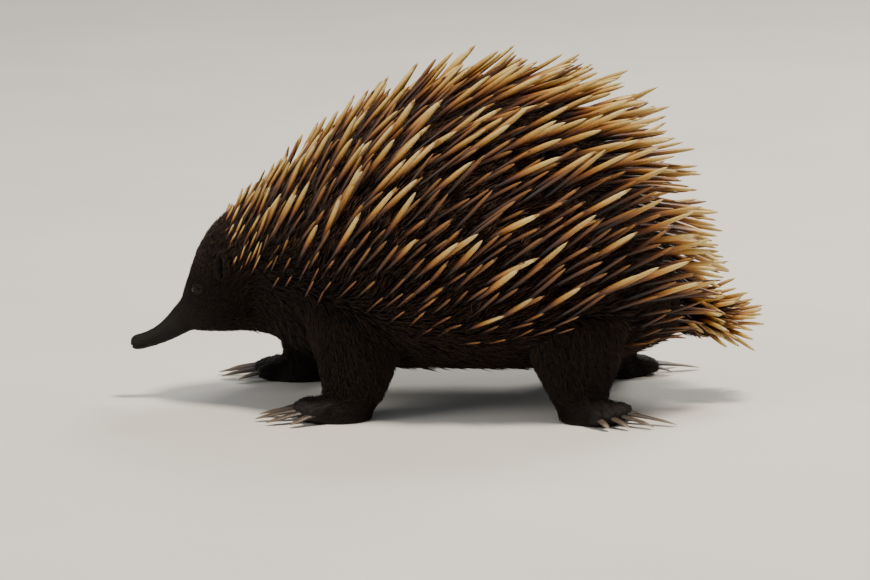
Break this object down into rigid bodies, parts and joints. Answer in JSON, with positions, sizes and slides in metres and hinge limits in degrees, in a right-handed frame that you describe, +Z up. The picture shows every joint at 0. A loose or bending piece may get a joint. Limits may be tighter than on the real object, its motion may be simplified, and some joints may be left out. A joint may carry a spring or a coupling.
{
  "type": "short-beaked echidna",
  "caption": "Life-size still model of a short-beaked echidna walking on four feet, with a long bare bill held low and a domed back of pale-tipped spines.",
  "frame": {"origin": "centre of the model's box seen from above, at the height of the soles", "axes": "+Z up, +X from the bill to the tail, +Y to the animal's right side"},
  "size_m": [0.4078, 0.2362, 0.2317],
  "materials": {
    "spiny_coat": "straw-yellow spines with brown roots and dark tips over dark brown fur",
    "fur": "coarse dark brown fur",
    "bill_skin": "bare black-grey skin, finely wrinkled",
    "foot_skin": "dark bare skin with sparse hair",
    "claw_horn": "worn brown horn",
    "eye": "wet black"
  },
  "bodies": {
    "root": {"bill": "bill_skin", "ear_left": "bill_skin", "ear_right": "bill_skin", "eye_left": "eye", "eye_right": "eye", "forefoot_left": "foot_skin", "forefoot_left_claw_1": "claw_horn", "forefoot_left_claw_2": "claw_horn", "forefoot_left_claw_3": "claw_horn", "forefoot_left_claw_4": "claw_horn", "forefoot_left_claw_5": "claw_horn", "forefoot_right": "foot_skin", "forefoot_right_claw_1": "claw_horn", "forefoot_right_claw_2": "claw_horn", "forefoot_right_claw_3": "claw_horn", "forefoot_right_claw_4": "claw_horn", "forefoot_right_claw_5": "claw_horn", "foreleg_left": "fur", "foreleg_right": "fur", "head": "spiny_coat", "hindfoot_left": "foot_skin", "hindfoot_left_claw_1": "claw_horn", "hindfoot_left_claw_2": "claw_horn", "hindfoot_left_claw_3": "claw_horn", "hindfoot_left_claw_4": "claw_horn", "hindfoot_left_claw_5": "claw_horn", "hindfoot_right": "foot_skin", "hindfoot_right_claw_1": "claw_horn", "hindfoot_right_claw_2": "claw_horn", "hindfoot_right_claw_3": "claw_horn", "hindfoot_right_claw_4": "claw_horn", "hindfoot_right_claw_5": "claw_horn", "hindleg_left": "fur", "hindleg_right": "fur", "rump": "spiny_coat", "shoulders": "spiny_coat", "tail": "spiny_coat", "trunk": "spiny_coat"}
  },
  "joints": []
}
